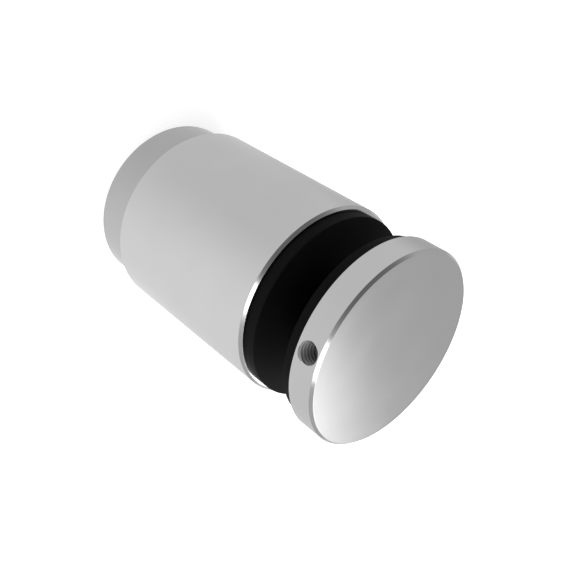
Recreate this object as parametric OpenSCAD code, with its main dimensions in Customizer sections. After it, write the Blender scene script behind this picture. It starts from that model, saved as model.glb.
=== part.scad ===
// Adjustable glass panel standoff.
// It stands on its wall face: +Z is its axis, from the wall towards the head.

/* [Barrel] */
// Outside diameter of the barrel and of the head
body_d = 50; // [48:1:70]
// Length of the barrel
barrel_len = 50; // [48:1:90]
// Chamfer on the front edges of the barrel and of the head
edge_chamfer = 0.65; // [0.3:0.05:1]

/* [Wall base] */
// How far the base is set in from the outside of the barrel, all round
base_step = 2; // [1.5:0.1:3]
// How much of the base shows behind the barrel
base_show = 11.8; // [6:0.1:14]
// How much of the base shows when the barrel is screwed right in
base_show_min = 3.8; // [1:0.1:6]
// How far the barrel can be screwed out from here
travel_out = 6; // [2:0.5:7]
// Thread that still holds when the barrel is screwed right out
thread_hold = 6; // [4:0.5:9]
// Length of the base's smooth part inside the barrel
guide_in = 9; // [6:0.5:10]
// Diameter of the thread that carries the barrel
spigot_d = 36; // [33:0.5:37]
// Pitch of that thread
spigot_pitch = 1.5; // [1:0.25:2]
// Clear hole for the bolt that fixes the base to the wall
wall_bolt_hole = 13; // [9:0.5:14]
// Counterbore for that bolt's head and washer
wall_bolt_seat = 25; // [22:0.5:26]
// Thickness of the base's floor, under the bolt's head
base_floor = 9; // [6:0.5:10]

/* [Glass clamp] */
// Gap between the gaskets, which is the thickness of the glass
glass_t = 10; // [6:0.5:20]
// Thickness of each gasket
gasket_t = 3.2; // [2:0.1:5]
// How far a gasket's edge is set in from the barrel's
gasket_inset = 1.2; // [0.8:0.1:3]
// Diameter of the clamp stud
stud_d = 10; // [8:1:12]
// Pitch of the clamp stud's thread
stud_pitch = 1.5; // [1:0.25:1.75]
// Length of the clamp stud
stud_len = 45; // [38:1:52]
// Outside diameter of the bush that goes through the glass
bush_d = 18; // [16:0.5:20]

/* [Head] */
// Thickness of the head
head_t = 6.9; // [6.8:0.1:12]
// How deep the clamp stud is screwed into the head
stud_seat = 5; // [4.5:0.1:5.5]

/* [Lock screws] */
// Diameter of the screw in the head's rim
head_screw_d = 6; // [5:1:6]
// Pitch of that screw
head_screw_pitch = 1; // [0.7:0.05:1]
// Length of that screw
head_screw_len = 10; // [6:1:12]
// Hexagon socket across flats, in that screw
head_screw_hex = 3; // [2:0.5:3]
// Diameter of the screw in the barrel's wall
barrel_screw_d = 5; // [4:1:5]
// Pitch of that screw
barrel_screw_pitch = 0.8; // [0.7:0.05:0.8]
// Length of that screw
barrel_screw_len = 4; // [3:0.5:4.5]
// Hexagon socket across flats, in that screw
barrel_screw_hex = 2.5; // [2:0.5:2.5]
// Thickness of the soft pad under it
pad_t = 1.5; // [1:0.1:1.5]

/* [Clearances] */
// Radial clearance of what turns or slides in a bore
fit_gap = 0.05; // [0.02:0.01:0.1]
// Radial clearance of the bush on the stud
bush_gap = 0.3; // [0.2:0.05:0.5]
// Radial clearance of the gaskets on the stud
gasket_gap = 0.6; // [0.3:0.05:1]
// What stays free inside when the barrel is screwed right in
end_gap = 0.5; // [0.3:0.1:1]
// Wall between the barrel's guide bore and the hole of its lock screw
lock_wall = 1.2; // [0.8:0.1:1.5]
// Size of the lead-ins at the mouths of bores and on the ends that enter them
lead = 0.5; // [0.3:0.05:0.8]

/* [Hidden] */
$fn = 96;
// How far a cut runs past the face that it opens
past = 1;
steel = [0.74, 0.74, 0.74];
dark_steel = [0.32, 0.32, 0.33];
rubber = [0.06, 0.06, 0.06];
nylon = [0.10, 0.10, 0.11];

// The barrel's depths are counted from its rear edge, the rest from the wall.
travel_in = base_show - base_show_min;
base_d = body_d - 2 * base_step;
guide_depth = guide_in + travel_in + end_gap;
spigot_depth = guide_depth + travel_out + thread_hold;
cavity_depth = spigot_depth + travel_in + end_gap;
spigot_tip = base_show + spigot_depth;
shoulder_z = base_show + guide_in;
barrel_front = base_show + barrel_len;
glass_rear = barrel_front + gasket_t;
glass_front = glass_rear + glass_t;
head_rear = glass_front + gasket_t;
gasket_d = body_d - 2 * gasket_inset;
stud_top = head_rear + stud_seat;
lock_z = base_show + guide_depth + lock_wall + barrel_screw_d / 2;

// The thread of a tapped hole is drawn plain, at its core.
function core_d(d, pitch) = d - pitch;

// A turned ring from z0 to z1, with its outer edges chamfered by c0 and c1.
module turned(d, z0, z1, c0 = 0, c1 = 0) {
    rotate_extrude()
        polygon([
            [0, z0], [d / 2 - c0, z0], [d / 2, z0 + c0],
            [d / 2, z1 - c1], [d / 2 - c1, z1], [0, z1],
        ]);
}

// A bore from z0 to z1.
module bore(d, z0, z1) {
    translate([0, 0, z0])
        cylinder(d = d, h = z1 - z0);
}

// Opens the mouth of a bore at z by a cone that is size deep, towards -Z or, if up, +Z.
module mouth(d, z, size, up = false) {
    translate([0, 0, z])
        mirror([0, 0, up ? 1 : 0])
            translate([0, 0, -past])
                cylinder(d1 = d + 2 * (size + past), d2 = d, h = size + past);
}

// A headless socket screw with its point at z = 0 and its socket at z = len.
module socket_screw(d, len, hex, cup_d) {
    difference() {
        turned(d, 0, len, d / 10, d / 10);
        translate([0, 0, len - hex])
            cylinder(d = hex / cos(30), h = hex + past, $fn = 6);
        if (cup_d > 0)
            mouth(0, 0, cup_d / 2);
    }
}

// Turned wall base: floor for the wall bolt, smooth guide and hollow threaded spigot.
module wall_base() {
    relief_d = spigot_d - 2 * spigot_pitch;
    relief_w = 2 * spigot_pitch;
    color(steel)
        difference() {
            union() {
                turned(base_d, 0, shoulder_z, 0, lead);
                turned(relief_d, shoulder_z - past, shoulder_z + relief_w + past);
                turned(spigot_d, shoulder_z + relief_w, spigot_tip, lead, spigot_pitch / 2);
            }
            bore(wall_bolt_hole, -past, base_floor + past);
            bore(wall_bolt_seat, base_floor, spigot_tip + past);
            mouth(wall_bolt_seat, spigot_tip, lead, up = true);
        }
}

// Turned barrel: guide bore and threaded bore from the rear, tapped front wall.
module barrel() {
    guide_bore = base_d + 2 * fit_gap;
    thread_bore = spigot_d + 2 * fit_gap;
    stud_bore = stud_d + 2 * fit_gap;
    color(steel)
        difference() {
            turned(body_d, base_show, barrel_front, 0, edge_chamfer);
            bore(guide_bore, base_show - past, base_show + guide_depth);
            mouth(guide_bore, base_show, lead);
            bore(thread_bore, base_show, base_show + cavity_depth);
            mouth(thread_bore, base_show + guide_depth, spigot_pitch / 2);
            bore(stud_bore, base_show, barrel_front + past);
            mouth(stud_bore, barrel_front, lead, up = true);
            at_lock_screw()
                bore(core_d(barrel_screw_d, barrel_screw_pitch), -past, body_d);
        }
}

// Stands what follows on the thread of the base, pointing out along +Y.
module at_lock_screw() {
    translate([0, 0, lock_z])
        rotate([-90, 0, 0])
            translate([0, 0, spigot_d / 2 + fit_gap])
                children();
}

module lock_pad() {
    color(nylon)
        at_lock_screw()
            cylinder(d = core_d(barrel_screw_d, barrel_screw_pitch) - 2 * fit_gap, h = pad_t);
}

module lock_screw() {
    color(dark_steel)
        at_lock_screw()
            translate([0, 0, pad_t])
                socket_screw(
                    core_d(barrel_screw_d, barrel_screw_pitch) - 2 * fit_gap,
                    barrel_screw_len, barrel_screw_hex, 0
                );
}

module gasket(z) {
    difference() {
        turned(gasket_d, z, z + gasket_t);
        bore(stud_d + 2 * gasket_gap, z - past, z + gasket_t + past);
    }
}

module rear_gasket() {
    color(rubber)
        gasket(barrel_front);
}

module front_gasket() {
    color(rubber)
        gasket(glass_front);
}

// Bush that centres the glass on the stud, and the head's stop while there is no glass.
module glass_bush() {
    bush_bore = stud_d + 2 * bush_gap;
    color(nylon)
        difference() {
            turned(bush_d, glass_rear, glass_front, lead, lead);
            bore(bush_bore, glass_rear - past, glass_front + past);
            mouth(bush_bore, glass_rear, lead);
            mouth(bush_bore, glass_front, lead, up = true);
        }
}

// Turned head with a blind tapped hole for the stud and a tapped hole in its rim.
module head_disc() {
    stud_bore = stud_d + 2 * fit_gap;
    color(steel)
        difference() {
            turned(body_d, head_rear, head_rear + head_t, 0, edge_chamfer);
            bore(stud_bore, head_rear - past, stud_top);
            mouth(stud_bore, head_rear, lead);
            at_rim_hole()
                bore(core_d(head_screw_d, head_screw_pitch), 0, body_d);
        }
}

// Stands what follows on the stud, halfway through the head, pointing out along -Y.
module at_rim_hole() {
    translate([0, 0, head_rear + head_t / 2])
        rotate([90, 0, 0])
            translate([0, 0, stud_d / 2])
                children();
}

module clamp_stud() {
    color(steel)
        turned(stud_d, stud_top - stud_len, stud_top, stud_pitch / 2, stud_pitch / 2);
}

module head_lock_screw() {
    color(dark_steel)
        at_rim_hole()
            socket_screw(
                core_d(head_screw_d, head_screw_pitch) - 2 * fit_gap,
                head_screw_len, head_screw_hex, head_screw_d / 2
            );
}

wall_base();
barrel();
lock_pad();
lock_screw();
rear_gasket();
glass_bush();
front_gasket();
head_disc();
clamp_stud();
head_lock_screw();
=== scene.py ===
"""Looks of the adjustable glass panel standoff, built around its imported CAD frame.

The frame is in metres with +Z from the wall to the head. Sizes below are in millimetres
and follow the part's own values. They are turned into metres where a mesh is made.
"""

import math

import bmesh
import bpy
from mathutils import Matrix, Vector


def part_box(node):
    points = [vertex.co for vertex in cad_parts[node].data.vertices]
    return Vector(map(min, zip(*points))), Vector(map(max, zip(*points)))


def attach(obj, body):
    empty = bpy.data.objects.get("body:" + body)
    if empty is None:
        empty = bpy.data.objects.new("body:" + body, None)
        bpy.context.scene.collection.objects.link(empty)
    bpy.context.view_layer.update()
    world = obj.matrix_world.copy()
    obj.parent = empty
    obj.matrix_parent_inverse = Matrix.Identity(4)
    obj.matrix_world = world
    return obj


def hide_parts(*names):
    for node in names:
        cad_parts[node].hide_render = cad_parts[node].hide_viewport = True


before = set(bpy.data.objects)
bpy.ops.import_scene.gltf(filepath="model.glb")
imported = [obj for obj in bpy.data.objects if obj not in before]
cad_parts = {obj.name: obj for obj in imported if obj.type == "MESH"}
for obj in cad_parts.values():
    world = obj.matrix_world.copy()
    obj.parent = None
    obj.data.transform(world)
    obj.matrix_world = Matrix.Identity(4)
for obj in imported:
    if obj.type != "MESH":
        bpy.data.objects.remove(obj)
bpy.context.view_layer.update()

MM = 0.001
# Steps round the large pieces, round threads and small pieces, round the lock screws, and round
# an eased corner
STEPS = 192
SMALL_STEPS = 96
SCREW_STEPS = 64
CORNER_STEPS = 4
# Points this near to each other, in millimetres, become one.
MERGE = 0.001
# A radius below this is on the axis.
ON_AXIS = 1e-6
# A corner that turns less than this, in radians, isn't eased.
STRAIGHT = 0.05
# How much of an edge the easing of one corner may take
CORNER_SHARE = 0.4
# Edges that turn more than this are shaded as sharp.
SHARP = math.radians(35)
# Steel doesn't brighten much where it is seen at a glancing angle.
STEEL_EDGE = (0.94, 0.94, 0.94, 1)

# Places and sizes that the frame's boxes show
BASE_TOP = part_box("wall_base")[1].z / MM
BARREL_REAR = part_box("barrel")[0].z / MM
BARREL_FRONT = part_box("barrel")[1].z / MM
GLASS_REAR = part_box("rear_gasket")[1].z / MM
GLASS_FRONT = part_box("front_gasket")[0].z / MM
HEAD_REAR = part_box("head_disc")[0].z / MM
HEAD_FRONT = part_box("head_disc")[1].z / MM
STUD_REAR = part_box("clamp_stud")[0].z / MM
STUD_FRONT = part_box("clamp_stud")[1].z / MM
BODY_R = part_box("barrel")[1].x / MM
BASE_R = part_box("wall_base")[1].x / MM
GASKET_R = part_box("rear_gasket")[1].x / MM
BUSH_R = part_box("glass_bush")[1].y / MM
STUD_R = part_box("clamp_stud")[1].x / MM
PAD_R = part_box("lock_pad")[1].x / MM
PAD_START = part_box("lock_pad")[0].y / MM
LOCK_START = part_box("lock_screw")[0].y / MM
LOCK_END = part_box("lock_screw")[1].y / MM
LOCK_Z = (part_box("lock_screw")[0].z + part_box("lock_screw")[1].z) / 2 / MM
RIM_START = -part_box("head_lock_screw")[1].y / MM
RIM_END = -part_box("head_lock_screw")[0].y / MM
RIM_Z = (HEAD_REAR + HEAD_FRONT) / 2

# Sizes inside the pieces, as in the part's source. PITCH is the spigot's and the stud's.
EDGE_CHAMFER = 0.65
LEAD = 0.5
FIT_GAP = 0.05
GASKET_GAP = 0.6
BUSH_GAP = 0.3
WALL_HOLE_R = 6.5
BOLT_SEAT_R = 12.5
BASE_FLOOR = 9.0
GUIDE_IN = 9.0
GUIDE_DEPTH = 17.5
CAVITY_DEPTH = 38.0
SPIGOT_R = 18.0
PITCH = 1.5
RIM_SCREW_R = 3.0
RIM_SCREW_PITCH = 1.0
RIM_SCREW_HEX = 3.0
RIM_SCREW_CUP = 1.5
LOCK_SCREW_R = 2.5
LOCK_SCREW_PITCH = 0.8
LOCK_SCREW_HEX = 2.5

# Fine detail that only the looks have: eased edges, the relief behind the barrel's thread, and
# how far the ends of the stud and of the screws are coned in
SHARP_EDGE = 0.06
GASKET_EDGE = 0.2
RELIEF_WIDTH = 2.5
RELIEF_DEPTH = 0.2
STUD_END_IN = 1.0
SCREW_END_IN = 0.1
# How far the pad stops short of its screw, so that their faces don't cut each other
SEAT_GAP = 0.01
# Threads: half the angle of the groove, and the depth of an outside thread in pitches
GROOVE = math.radians(30)
THREAD_DEPTH = 0.613
# Turn of the rim hole's thread, in degrees, and how far from the stud it starts
RIM_THREAD_PHASE = -5
RIM_THREAD_START = 0.5

# Cutters: how far they run past what they open, and what keeps their faces off others
PAST = 1.0
SPIGOT_CUTTER_MORE = 0.03
SPIGOT_CUTTER_IN = 0.3
# How far off the wall of a hole a face may be to count as part of it
ON_WALL = 0.02

# Textures: the middle and the wide part of a noise's values, and scales per metre
NOISE_MIDDLE = (0.3, 0.7)
NOISE_WIDE = (0.25, 0.75)
STEEL_CLOUDS = 90
STEEL_LINES = 9000
STEEL_BANDS = 700
MOULD_CLOUDS = 120
MOULD_MARKS = 2500
# How much the steel's tone and roughness vary by its clouds and lines
CLOUD_TONE = 0.015
LINE_TONE = 0.012
CLOUD_ROUGHNESS = 0.01
# How much rubber and nylon vary by theirs, and how deep the marks are next to the grain
MOULD_TONE = 0.2
MOULD_ROUGHNESS = 0.05
MOULD_MARK_DEPTH = 0.3

# Floor: half its width and how far it lies under the part, both in millimetres, then its colour
# and what it adds to that where the camera sees it
FLOOR = 4000
FLOOR_DROP = 0.02
FLOOR_ALBEDO = 0.8
FLOOR_WHITE = 0.7
# What steel sees of the floor: darker than white, with a brighter and a darker side. Each side
# has its azimuth in degrees, the cosines between which it grows, its strength, and distances
# in metres between which it changes. FAR and NEAR are the shares of it that are left there.
FLOOR_IN_STEEL = 0.76
BRIGHT_SIDE = -45
BRIGHT_SIDE_GROWS = (-0.1, 1.15)
BRIGHT_SIDE_MORE = 0.25
BRIGHT_SIDE_END = (0.105, 0.150)
BRIGHT_SIDE_FAR = 0.3
DARK_SIDE = 90
DARK_SIDE_GROWS = (0.45, 1)
DARK_SIDE_MORE = -0.24
DARK_SIDE_FULL = (0.070, 0.130)
DARK_SIDE_NEAR = 0.45
DARK_SIDE_END = (0.200, 0.400)

# Room: its level all round, and the least that a dark side leaves of it
ROOM = 0.54
LEAST_LIGHT = 0.02
# Azimuth and elevation, half width and half height, all in degrees; soft edge and strength.
# The last one takes light away.
SOFTBOXES = (
    (-57.8, 48.9, 26, 6.5, 0.10, 2.9),
    (31.5, 44, 23, 23, 0.46, 3.1),
    (-152, 25, 51, 51, 0.60, -0.37),
)

# Camera: where it looks, in degrees and millimetres. It starts to see at VIEW_START metres.
VIEW_AZIMUTH = 65.945
VIEW_ELEVATION = 37.162
VIEW_ROLL = -124.32
VIEW_AIM = Vector((1.21, -0.52, 49.08))
VIEW_DISTANCE = 197.2
VIEW_LENS = 50
VIEW_SENSOR = 36
VIEW_START = 0.005


def direction_of(azimuth, elevation):
    """The unit vector at an azimuth from +X and an elevation, both in degrees."""
    a, e = math.radians(azimuth), math.radians(elevation)
    return Vector((math.cos(a) * math.cos(e), math.sin(a) * math.cos(e), math.sin(e)))


def mesh_object(name, vertices, faces):
    """A mesh of points in millimetres, as an object in the scene."""
    mesh = bpy.data.meshes.new(name)
    mesh.from_pydata([Vector(v) * MM for v in vertices], [], faces)
    obj = bpy.data.objects.new(name, mesh)
    bpy.context.scene.collection.objects.link(obj)
    return obj


def tidied(obj):
    """Merges what coincides, closes open ends and turns all faces outwards."""
    bm = bmesh.new()
    bm.from_mesh(obj.data)
    bmesh.ops.remove_doubles(bm, verts=bm.verts, dist=MERGE * MM)
    bmesh.ops.dissolve_degenerate(bm, edges=bm.edges, dist=MERGE * MM)
    open_edges = [e for e in bm.edges if e.is_boundary]
    if open_edges:
        bmesh.ops.holes_fill(bm, edges=open_edges, sides=0)
    bmesh.ops.recalc_face_normals(bm, faces=bm.faces)
    bm.to_mesh(obj.data)
    bm.free()
    return obj


def eased(loop, size):
    """The closed loop of (radius, height) points with each corner off the axis rounded."""
    out = []
    for i, point in enumerate(loop):
        here = Vector(point)
        before, after = Vector(loop[i - 1]), Vector(loop[(i + 1) % len(loop)])
        a, b = (before - here).normalized(), (after - here).normalized()
        turn = math.pi - a.angle(b)
        if here.x < ON_AXIS or turn < STRAIGHT:
            out.append(here)
            continue
        room = CORNER_SHARE * min((before - here).length, (after - here).length)
        reach = min(size * math.tan(turn / 2), room)
        radius = reach / math.tan(turn / 2)
        centre = here + (a + b).normalized() * math.hypot(radius, reach)
        arm = here + a * reach - centre
        side = math.copysign(1, arm.cross(here + b * reach - centre))
        for k in range(CORNER_STEPS + 1):
            out.append(centre + Matrix.Rotation(side * turn * k / CORNER_STEPS, 2) @ arm)
    return out


def turned(name, loop, steps=STEPS):
    """A body of revolution about Z from a closed loop of (radius, height) points."""
    vertices, rings = [], []
    for r, z in loop:
        count = steps if r > ON_AXIS else 1
        first = len(vertices)
        for k in range(count):
            t = 2 * math.pi * k / steps
            vertices.append((r * math.cos(t), r * math.sin(t), z))
        rings.append([first + k % count for k in range(steps)])
    faces = []
    for ring, other in zip(rings, rings[1:] + rings[:1]):
        if ring[0] == ring[1] and other[0] == other[1]:
            continue
        for k in range(steps):
            n = (k + 1) % steps
            corners = (ring[k], ring[n], other[n], other[k])
            faces.append(list(dict.fromkeys(corners)))
    return tidied(mesh_object(name, vertices, faces))


def threaded_rod(name, major, minor, pitch, low, high, end_r, phase=0.0, steps=SMALL_STEPS,
                 stop=None):
    """A right-hand threaded rod along Z from low to high, with ends coned down to end_r.

    Rods of one pitch and phase are in step with each other, wherever they start. Where stop
    gives a height, the thread's middle ends there and leaves a plain core.
    """
    flank = (major - minor) * math.tan(GROOVE) / pitch
    crest = (1 - 2 * flank) / 3
    # One turn: where each stretch starts and ends in pitches, its radii and its points
    profile = []
    for start, end, r0, r1, n in (
        (0, crest, major, major, 2),
        (crest, crest + flank, major, minor, 3),
        (crest + flank, 1 - flank, minor, minor, 2),
        (1 - flank, 1, minor, major, 3),
    ):
        for k in range(n):
            profile.append((start + (end - start) * k / n, r0 + (r1 - r0) * k / n))
    first = math.floor(low / pitch) - 2
    turns = math.ceil(high / pitch) + 1 - first
    rows = [(first + k + u, r) for k in range(turns) for u, r in profile]
    vertices = []
    for i in range(steps):
        for u, r in rows:
            z = min(max((u + i / steps) * pitch, low), high)
            r = min(r, end_r + min(z - low, high - z))
            middle = (math.floor(u - crest / 2 + 0.5) + crest / 2 + i / steps) * pitch
            if stop is not None and middle > stop:
                r = min(r, minor)
            t = math.radians(phase) + 2 * math.pi * i / steps
            vertices.append((r * math.cos(t), r * math.sin(t), z))
    faces = []
    for i in range(steps):
        # Past the last column each row meets the same row of the next turn.
        shift = len(profile) if i == steps - 1 else 0
        for j in range(len(rows) - 1 - shift):
            a = i * len(rows) + j
            b = (i + 1) % steps * len(rows) + j + shift
            faces.append((a, b, b + 1, a + 1))
    return tidied(mesh_object(name, vertices, faces))


def core_r(radius, pitch):
    """The radius of a tapped hole between its threads."""
    return radius - pitch / 2


def screw_core_r(radius, pitch):
    """The radius at the bottom of an outside thread."""
    return radius - THREAD_DEPTH * pitch


def carve(obj, cutter):
    """Takes the cutter out of obj. The cutter is used up."""
    modifier = obj.modifiers.new("carve", "BOOLEAN")
    modifier.operation = "DIFFERENCE"
    modifier.object = cutter
    modifier.solver = "EXACT"
    graph = bpy.context.evaluated_depsgraph_get()
    result = bpy.data.meshes.new_from_object(obj.evaluated_get(graph))
    obj.modifiers.clear()
    obj.data = result
    bpy.data.objects.remove(cutter)
    tidied(obj)


def cut_thread(obj, radius, pitch, low, high, matrix=None, **thread):
    """Cuts an inside thread into a core hole of obj, along Z or along matrix's own Z."""
    minor = core_r(radius, pitch) - FIT_GAP
    tap = threaded_rod("tap", radius, minor, pitch, low, high, minor, **thread)
    carve(obj, placed(tap, matrix or Matrix()))


def placed(obj, matrix):
    """obj with its mesh moved by the matrix."""
    obj.data.transform(matrix)
    return obj


def outwards(direction, height):
    """Turns a piece's own +Z to +Y, or to -Y for direction -1, at a height in millimetres."""
    turn = Matrix.Rotation(math.radians(-90 * direction), 4, "X")
    return Matrix.Translation((0, 0, height * MM)) @ turn


def plug(r, low, high, steps=SMALL_STEPS):
    """A plain round or, with 6 steps, hexagonal bar that opens a hole."""
    return turned("plug", [(0, low), (r, low), (r, high), (0, high)], steps)


def set_screw(name, radius, pitch, low, high, hexagon, phase=0.0, cup=0.0):
    """A headless socket screw with its point at low and its socket at high."""
    major = radius - FIT_GAP
    minor = screw_core_r(major, pitch)
    end_r = minor - SCREW_END_IN
    screw = threaded_rod(name, major, minor, pitch, low, high, end_r, phase, SCREW_STEPS)
    corner_r = hexagon / 2 / math.cos(math.radians(30))
    carve(screw, plug(corner_r, high - hexagon, high + PAST, 6))
    if cup > 0:
        cone = [(0, low + cup), (cup + PAST, low - PAST), (0, low - PAST)]
        carve(screw, turned("cup", cone, SCREW_STEPS))
    return screw


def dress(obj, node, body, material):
    """Shades the piece and puts it in its node's place on its body."""
    obj.name = node + "_piece"
    obj.data.shade_smooth()
    obj.data.set_sharp_from_angle(angle=SHARP)
    obj.data.materials.clear()
    obj.data.materials.append(material)
    normals = obj.modifiers.new("normals", "WEIGHTED_NORMAL")
    normals.keep_sharp = True
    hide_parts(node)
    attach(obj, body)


def mark_tapped(obj, height, direction, radius):
    """Gives the inside of a tapped cross hole its own rougher steel."""
    obj.data.materials.append(tapped_steel)
    for face in obj.data.polygons:
        x, y, z = face.center / MM
        inside = y * direction > 0 and math.hypot(x, y) < BODY_R - ON_WALL
        if inside and math.hypot(x, z - height) < radius + ON_WALL:
            face.material_index = 1


class Nodes:
    """A small builder of shader nodes."""

    def __init__(self, tree):
        self.tree = tree
        tree.nodes.clear()

    def add(self, kind, inputs=(), **settings):
        node = self.tree.nodes.new("ShaderNode" + kind)
        for key, value in settings.items():
            setattr(node, key, value)
        for key, value in dict(inputs).items():
            socket = node.inputs[key]
            if isinstance(value, bpy.types.NodeSocket):
                self.tree.links.new(value, socket)
            else:
                socket.default_value = value
        return node

    def math(self, operation, *values):
        return self.add("Math", enumerate(values), operation=operation).outputs[0]

    def vector(self, operation, *values):
        node = self.add("VectorMath", enumerate(values), operation=operation)
        return node.outputs["Value" if operation in ("DOT_PRODUCT", "LENGTH") else "Vector"]

    def ranged(self, value, low, high, to_low, to_high, kind="LINEAR"):
        inputs = {"Value": value, "From Min": low, "From Max": high,
                  "To Min": to_low, "To Max": to_high}
        return self.add("MapRange", inputs, interpolation_type=kind).outputs["Result"]

    def noise(self, vector, scale, detail=2.0, roughness=0.5):
        inputs = {"Vector": vector, "Scale": scale, "Detail": detail, "Roughness": roughness}
        return self.add("TexNoise", inputs).outputs["Fac"]


def new_material(name):
    material = bpy.data.materials.new(name)
    material.use_nodes = True
    return material, Nodes(material.node_tree)


def turned_coordinates(n):
    """The object's own (radius, 0, height), so that a texture follows the lathe's marks."""
    place = n.add("TexCoord").outputs["Object"]
    radius = n.vector("LENGTH", n.vector("MULTIPLY", place, (1, 1, 0)))
    height = n.add("SeparateXYZ", {0: place}).outputs["Z"]
    rings = n.add("CombineXYZ", {"X": radius, "Z": height}).outputs[0]
    return place, rings


def turned_steel(name, level, roughness, line_depth, spread=0.06, metallic=1.0):
    """Satin stainless steel with fine turning lines."""
    material, n = new_material(name)
    place, rings = turned_coordinates(n)
    cloud = n.noise(place, STEEL_CLOUDS, 3)
    lines = n.noise(rings, STEEL_LINES, 3, 0.7)
    bands = n.noise(rings, STEEL_BANDS, 2)
    tone = n.math("ADD", n.ranged(cloud, *NOISE_MIDDLE, 1 - CLOUD_TONE, 1 + CLOUD_TONE),
                  n.ranged(lines, *NOISE_MIDDLE, -LINE_TONE, LINE_TONE))
    shade = n.math("MULTIPLY", tone, level)
    colour = n.add("CombineColor", {"Red": shade, "Green": shade, "Blue": shade}).outputs[0]
    grain = n.math("ADD", n.ranged(lines, *NOISE_WIDE, -spread / 2, spread / 2),
                   n.ranged(bands, *NOISE_MIDDLE, -spread / 4, spread / 4))
    patches = n.ranged(cloud, *NOISE_MIDDLE, -CLOUD_ROUGHNESS, CLOUD_ROUGHNESS)
    rough = n.math("ADD", n.math("ADD", grain, patches), roughness)
    bump = n.add("Bump", {"Strength": 1.0, "Distance": line_depth * MM, "Height": lines})
    shader = n.add("BsdfPrincipled", {
        "Base Color": colour, "Metallic": metallic, "Roughness": rough, "Normal": bump.outputs[0],
        "Specular Tint": STEEL_EDGE,
    })
    n.add("OutputMaterial", {"Surface": shader.outputs[0]})
    return material


def moulded(name, level, roughness, specular, grain_depth, grain_scale):
    """Black rubber or nylon with the fine grain of its mould."""
    material, n = new_material(name)
    place, rings = turned_coordinates(n)
    grain = n.noise(place, grain_scale, 4, 0.6)
    cloud = n.noise(place, MOULD_CLOUDS, 2)
    marks = n.noise(rings, MOULD_MARKS, 2)
    tone = n.ranged(cloud, *NOISE_MIDDLE, 1 - MOULD_TONE, 1 + MOULD_TONE)
    shade = n.math("MULTIPLY", tone, level)
    colour = n.add("CombineColor", {"Red": shade, "Green": shade, "Blue": shade}).outputs[0]
    patches = n.ranged(grain, *NOISE_MIDDLE, -MOULD_ROUGHNESS, MOULD_ROUGHNESS)
    rough = n.math("ADD", patches, roughness)
    height = n.math("ADD", grain, n.math("MULTIPLY", marks, MOULD_MARK_DEPTH))
    bump = n.add("Bump", {"Strength": 1.0, "Distance": grain_depth * MM, "Height": height})
    shader = n.add("BsdfPrincipled", {
        "Base Color": colour, "Roughness": rough, "Specular IOR Level": specular,
        "Normal": bump.outputs[0],
    })
    n.add("OutputMaterial", {"Surface": shader.outputs[0]})
    return material


# Materials. The depths are in millimetres, and the grain's scale is per metre.
satin = turned_steel("satin_steel", level=0.62, roughness=0.15, line_depth=0.0003, spread=0.04)
base_steel = turned_steel("base_steel", level=0.50, roughness=0.17, line_depth=0.0003, spread=0.04)
tapped_steel = turned_steel("tapped_steel", level=0.50, roughness=0.50, line_depth=0.0006,
                            metallic=0.55)
thread_steel = turned_steel("thread_steel", level=0.50, roughness=0.30, line_depth=0.0006)
screw_steel = turned_steel("screw_steel", level=0.28, roughness=0.34, line_depth=0.0006)
rubber = moulded("black_rubber", level=0.006, roughness=0.60, specular=0.08, grain_depth=0.010,
                 grain_scale=2600)
nylon = moulded("black_nylon", level=0.010, roughness=0.45, specular=0.30, grain_depth=0.006,
                grain_scale=1800)


# Wall base: guide, relief and hollow threaded spigot
shoulder = BARREL_REAR + GUIDE_IN
thread_start = shoulder + 2 * PITCH
relief_r = SPIGOT_R - PITCH
wall_base = turned("wall_base", eased([
    (WALL_HOLE_R, 0), (BASE_R, 0), (BASE_R, shoulder - LEAD), (BASE_R - LEAD, shoulder),
    (relief_r, shoulder), (relief_r, thread_start), (SPIGOT_R - LEAD, thread_start),
    (SPIGOT_R, thread_start + LEAD), (SPIGOT_R, BASE_TOP - PITCH / 2),
    (SPIGOT_R - PITCH / 2, BASE_TOP), (BOLT_SEAT_R + LEAD, BASE_TOP),
    (BOLT_SEAT_R, BASE_TOP - LEAD), (BOLT_SEAT_R, BASE_FLOOR), (WALL_HOLE_R, BASE_FLOOR),
], SHARP_EDGE))
# The space between the threads is what a tube has outside a threaded rod.
low, high = thread_start - PAST, BASE_TOP + PAST
tube_in, tube_out = relief_r + SPIGOT_CUTTER_IN, SPIGOT_R + PAST
between = turned("between", [(tube_in, low), (tube_out, low), (tube_out, high), (tube_in, high)])
thread = threaded_rod("thread", SPIGOT_R + SPIGOT_CUTTER_MORE, screw_core_r(SPIGOT_R, PITCH),
                      PITCH, low - 2 * PAST, high + 2 * PAST, SPIGOT_R)
carve(between, thread)
carve(wall_base, between)
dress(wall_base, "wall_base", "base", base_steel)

# Barrel: guide bore, threads for the spigot and the stud, tapped hole for the lock screw
guide_top = BARREL_REAR + GUIDE_DEPTH
cavity_top = BARREL_REAR + CAVITY_DEPTH
relief_start = cavity_top - RELIEF_WIDTH
guide_r, spigot_bore_r, stud_bore_r = BASE_R + FIT_GAP, SPIGOT_R + FIT_GAP, STUD_R + FIT_GAP
spigot_core_r, stud_core_r = core_r(spigot_bore_r, PITCH), core_r(stud_bore_r, PITCH)
spigot_relief_r = spigot_bore_r + RELIEF_DEPTH
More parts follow.
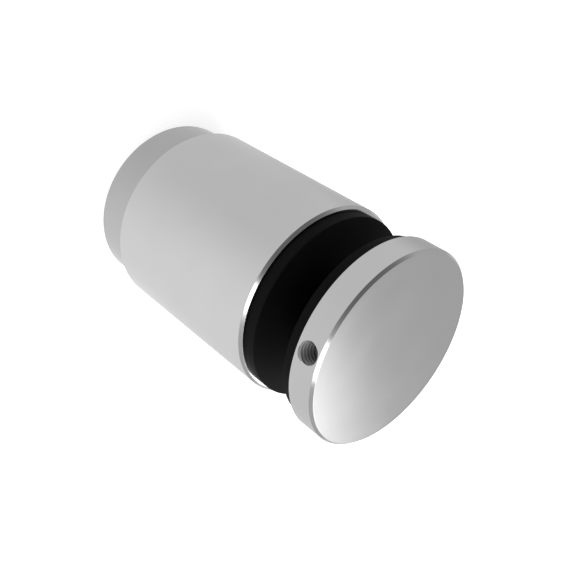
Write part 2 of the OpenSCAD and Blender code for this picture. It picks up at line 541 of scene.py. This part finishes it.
barrel = turned("barrel", eased([
    (guide_r + LEAD, BARREL_REAR), (BODY_R, BARREL_REAR),
    (BODY_R, BARREL_FRONT - EDGE_CHAMFER), (BODY_R - EDGE_CHAMFER, BARREL_FRONT),
    (stud_bore_r + LEAD, BARREL_FRONT), (stud_core_r, BARREL_FRONT - LEAD - PITCH / 2),
    (stud_core_r, cavity_top), (spigot_relief_r, cavity_top), (spigot_relief_r, relief_start),
    (spigot_core_r, relief_start), (spigot_core_r, guide_top + PITCH),
    (spigot_bore_r + PITCH / 2, guide_top), (guide_r, guide_top), (guide_r, BARREL_REAR + LEAD),
], SHARP_EDGE))
cut_thread(barrel, spigot_bore_r, PITCH, guide_top - PAST, relief_start + PITCH)
cut_thread(barrel, stud_bore_r, PITCH, cavity_top - 3 * PAST, BARREL_FRONT + 3 * PAST)
lock_hole_start = SPIGOT_R - 2 * PAST
lock_hole = plug(core_r(LOCK_SCREW_R, LOCK_SCREW_PITCH), lock_hole_start, BODY_R + PAST)
carve(barrel, placed(lock_hole, outwards(1, LOCK_Z)))
cut_thread(barrel, LOCK_SCREW_R, LOCK_SCREW_PITCH, lock_hole_start, BODY_R + 2 * PAST,
           outwards(1, LOCK_Z))
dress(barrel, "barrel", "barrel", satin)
mark_tapped(barrel, LOCK_Z, 1, LOCK_SCREW_R)

# Head, with its blind hole for the stud and the tapped hole in its rim
head = turned("head_disc", eased([
    (stud_bore_r + LEAD, HEAD_REAR), (BODY_R, HEAD_REAR),
    (BODY_R, HEAD_FRONT - EDGE_CHAMFER), (BODY_R - EDGE_CHAMFER, HEAD_FRONT),
    (0, HEAD_FRONT), (0, STUD_FRONT), (stud_bore_r, STUD_FRONT),
    (stud_bore_r, HEAD_REAR + LEAD),
], SHARP_EDGE))
rim_hole = plug(core_r(RIM_SCREW_R, RIM_SCREW_PITCH), STUD_R, BODY_R + PAST)
carve(head, placed(rim_hole, outwards(-1, RIM_Z)))
cut_thread(head, RIM_SCREW_R, RIM_SCREW_PITCH, STUD_R + RIM_THREAD_START,
           BODY_R + 2 * PAST, outwards(-1, RIM_Z), phase=RIM_THREAD_PHASE, stop=BODY_R)
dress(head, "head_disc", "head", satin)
mark_tapped(head, RIM_Z, -1, RIM_SCREW_R)

# Clamp stud
stud = threaded_rod("clamp_stud", STUD_R, screw_core_r(STUD_R, PITCH), PITCH, STUD_REAR,
                    STUD_FRONT, STUD_R - STUD_END_IN)
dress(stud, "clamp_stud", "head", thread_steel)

# Lock screws, and the soft pad under the barrel's
rim_screw = set_screw("head_lock_screw", RIM_SCREW_R, RIM_SCREW_PITCH, RIM_START, RIM_END,
                      RIM_SCREW_HEX, RIM_THREAD_PHASE, RIM_SCREW_CUP)
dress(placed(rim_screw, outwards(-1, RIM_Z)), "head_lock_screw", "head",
      screw_steel)
lock_screw = set_screw("lock_screw", LOCK_SCREW_R, LOCK_SCREW_PITCH, LOCK_START, LOCK_END,
                       LOCK_SCREW_HEX)
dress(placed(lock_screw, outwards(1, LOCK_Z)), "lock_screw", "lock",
      screw_steel)
pad_end = LOCK_START - SEAT_GAP
pad = turned("lock_pad", eased([(0, PAD_START), (PAD_R, PAD_START), (PAD_R, pad_end),
                                (0, pad_end)], GASKET_EDGE), SMALL_STEPS)
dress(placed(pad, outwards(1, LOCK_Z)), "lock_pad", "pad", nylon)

# Gaskets and the bush between them
bore_r = STUD_R + GASKET_GAP
for node, body in (("rear_gasket", "seat"), ("front_gasket", "washer")):
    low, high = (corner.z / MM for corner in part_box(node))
    gasket = turned(node, eased([(bore_r, low), (GASKET_R, low), (GASKET_R, high),
                                 (bore_r, high)], GASKET_EDGE))
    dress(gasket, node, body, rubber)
bush_r = STUD_R + BUSH_GAP
bush = turned("glass_bush", eased([
    (bush_r + LEAD, GLASS_REAR), (BUSH_R - LEAD, GLASS_REAR), (BUSH_R, GLASS_REAR + LEAD),
    (BUSH_R, GLASS_FRONT - LEAD), (BUSH_R - LEAD, GLASS_FRONT), (bush_r + LEAD, GLASS_FRONT),
    (bush_r, GLASS_FRONT - LEAD), (bush_r, GLASS_REAR + LEAD),
], SHARP_EDGE), SMALL_STEPS)
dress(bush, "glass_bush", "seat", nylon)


# Floor: plain and pale to the camera, with a brighter and a darker side in the steel
floor = mesh_object("floor", [(-FLOOR, -FLOOR, 0), (FLOOR, -FLOOR, 0), (FLOOR, FLOOR, 0),
                              (-FLOOR, FLOOR, 0)], [(0, 1, 2, 3)])
floor.location.z = -FLOOR_DROP * MM
material, n = new_material("floor")
place = n.add("TexCoord").outputs["Object"]
distance = n.vector("LENGTH", place)
bearing = n.vector("NORMALIZE", n.vector("MULTIPLY", place, (1, 1, 0)))
towards = n.vector("DOT_PRODUCT", bearing, direction_of(BRIGHT_SIDE, 0))
more = n.ranged(towards, *BRIGHT_SIDE_GROWS, 0, BRIGHT_SIDE_MORE, "SMOOTHSTEP")
reach = n.ranged(distance, *BRIGHT_SIDE_END, 1, BRIGHT_SIDE_FAR, "SMOOTHSTEP")
in_steel = n.math("MULTIPLY_ADD", more, reach, FLOOR_IN_STEEL)
towards = n.vector("DOT_PRODUCT", bearing, direction_of(DARK_SIDE, 0))
more = n.ranged(towards, *DARK_SIDE_GROWS, 0, DARK_SIDE_MORE, "SMOOTHSTEP")
grown = n.ranged(distance, *DARK_SIDE_FULL, DARK_SIDE_NEAR, 1, "SMOOTHSTEP")
ended = n.ranged(distance, *DARK_SIDE_END, 1, 0, "SMOOTHSTEP")
in_steel = n.math("MULTIPLY_ADD", more, n.math("MULTIPLY", grown, ended), in_steel)
path = n.add("LightPath")
white = n.math("MULTIPLY", path.outputs["Is Camera Ray"], FLOOR_WHITE)
lit = n.add("AddShader", {
    0: n.add("BsdfDiffuse", {"Color": (*[FLOOR_ALBEDO] * 3, 1)}).outputs[0],
    1: n.add("Emission", {"Color": (1, 1, 1, 1), "Strength": white}).outputs[0],
})
glow = n.add("Emission", {"Color": (1, 1, 1, 1), "Strength": in_steel})
shown = n.add("MixShader", {0: path.outputs["Is Glossy Ray"], 1: lit.outputs[0],
                            2: glow.outputs[0]})
n.add("OutputMaterial", {"Surface": shown.outputs[0]})
floor.data.materials.append(material)

# Studio light: a soft room with two large softboxes and one dark side
world = bpy.data.worlds.new("studio")
bpy.context.scene.world = world
world.use_nodes = True
n = Nodes(world.node_tree)
ray = n.add("TexCoord").outputs["Generated"]
light = ROOM
for azimuth, elevation, wide, high, edge, strength in SOFTBOXES:
    centre = direction_of(azimuth, elevation)
    side = centre.cross((0, 0, 1)).normalized()
    ahead = n.vector("DOT_PRODUCT", ray, centre)
    spread = [
        n.math("DIVIDE", n.vector("DOT_PRODUCT", ray, axis / math.tan(math.radians(size))), ahead)
        for axis, size in ((side, wide), (side.cross(centre), high))
    ]
    offset = n.math("SQRT", n.math("ADD", *(n.math("MULTIPLY", x, x) for x in spread)))
    lobe = n.ranged(offset, 1 + edge, 1 - edge, 0, strength, "SMOOTHSTEP")
    light = n.math("MULTIPLY_ADD", lobe, n.math("GREATER_THAN", ahead, 0), light)
light = n.math("MAXIMUM", light, LEAST_LIGHT)
path = n.add("LightPath")
seen = n.add("Mix", {"Factor": path.outputs["Is Camera Ray"], "A": light, "B": 1.0})
background = n.add("Background", {"Color": (1, 1, 1, 1), "Strength": seen.outputs["Result"]})
n.add("OutputWorld", {"Surface": background.outputs[0]})

# Camera at the photograph's viewing angle
view = direction_of(VIEW_AZIMUTH, -VIEW_ELEVATION)
across = view.cross((0, 0, 1)).normalized()
upright = across.cross(view)
roll = math.radians(VIEW_ROLL)
up = upright * math.cos(roll) + across * math.sin(roll)
right = view.cross(up)
lens = bpy.data.cameras.new("camera")
lens.lens = VIEW_LENS
lens.sensor_width = VIEW_SENSOR
lens.clip_start = VIEW_START
camera = bpy.data.objects.new("camera", lens)
bpy.context.scene.collection.objects.link(camera)
axes = Matrix((right, up, -view)).transposed().to_4x4()
camera.matrix_world = Matrix.Translation((VIEW_AIM - view * VIEW_DISTANCE) * MM) @ axes
bpy.context.scene.camera = camera
bpy.context.scene.view_settings.view_transform = "Standard"
